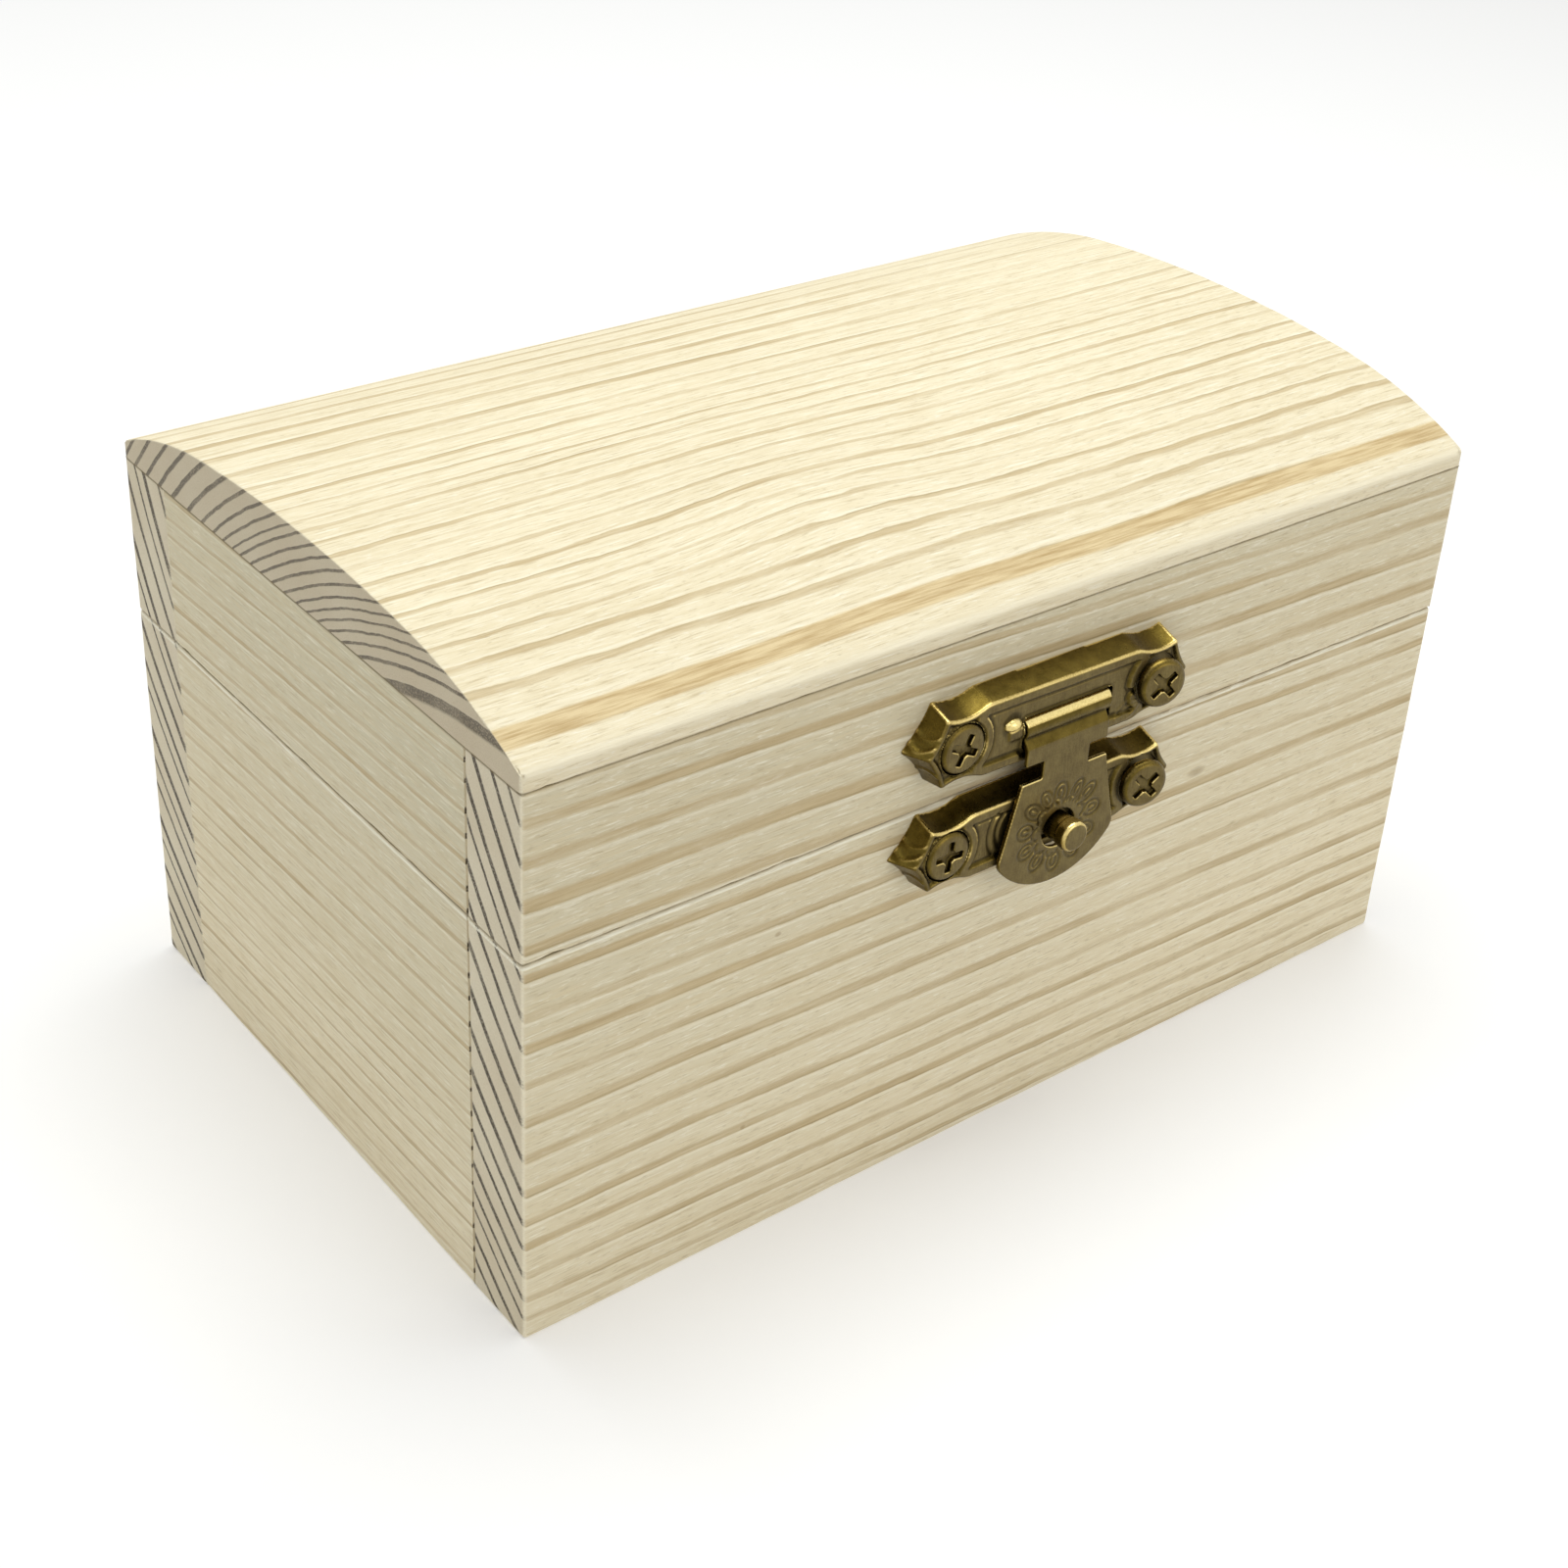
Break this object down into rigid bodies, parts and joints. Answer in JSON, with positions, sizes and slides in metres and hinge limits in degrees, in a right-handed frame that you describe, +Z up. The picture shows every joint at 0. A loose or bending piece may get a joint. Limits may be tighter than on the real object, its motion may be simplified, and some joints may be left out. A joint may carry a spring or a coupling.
{
  "type": "treasure chest box",
  "caption": "Small pine treasure chest with an arched lid on back hinges, closed at the front by a pressed bronze-coloured latch whose hanging flap drops over a stud.",
  "frame": {"origin": "centre of the underside of the base, where the box stands", "axes": "+X along the length of the box to the viewer's right, the front with the latch faces -Y, +Z up"},
  "size_m": [0.12, 0.0837, 0.0695],
  "materials": {
    "pine": "unvarnished pine, sanded, with yellow-brown growth lines",
    "plywood": "thin unvarnished plywood",
    "antique_bronze": "dark olive-brown antique bronze plating, worn to pale gold along the raised edges"
  },
  "bodies": {
    "base": {"base_front_board": "pine", "base_back_board": "pine", "base_left_end": "pine", "base_right_end": "pine", "base_bottom_panel": "plywood", "latch_lower_plate": "antique_bronze", "latch_stud": "antique_bronze", "latch_lower_screw_left": "antique_bronze", "latch_lower_screw_right": "antique_bronze", "left_hinge_base_leaf": "antique_bronze", "left_hinge_pin": "antique_bronze", "left_hinge_base_screw_a": "antique_bronze", "left_hinge_base_screw_b": "antique_bronze", "right_hinge_base_leaf": "antique_bronze", "right_hinge_pin": "antique_bronze", "right_hinge_base_screw_a": "antique_bronze", "right_hinge_base_screw_b": "antique_bronze"},
    "lid": {"lid_front_rail": "pine", "lid_back_rail": "pine", "lid_left_end": "pine", "lid_right_end": "pine", "lid_top_board": "pine", "latch_upper_plate": "antique_bronze", "latch_pin": "antique_bronze", "latch_upper_screw_left": "antique_bronze", "latch_upper_screw_right": "antique_bronze", "left_hinge_lid_leaf": "antique_bronze", "left_hinge_lid_screw_a": "antique_bronze", "left_hinge_lid_screw_b": "antique_bronze", "right_hinge_lid_leaf": "antique_bronze", "right_hinge_lid_screw_a": "antique_bronze", "right_hinge_lid_screw_b": "antique_bronze"},
    "latch_flap": {"latch_flap": "antique_bronze"}
  },
  "joints": [
    {"name": "lid_hinge", "type": "hinge", "parent": "base", "child": "lid", "pos_m": [0, 0.0388, 0.044], "axis": [-1, 0, 0], "range_deg": [0, 180]},
    {"name": "latch_flap_pivot", "type": "hinge", "parent": "lid", "child": "latch_flap", "pos_m": [0.0002, -0.0394, 0.0507], "axis": [-1, 0, 0], "range_deg": [0, 90]}
  ]
}
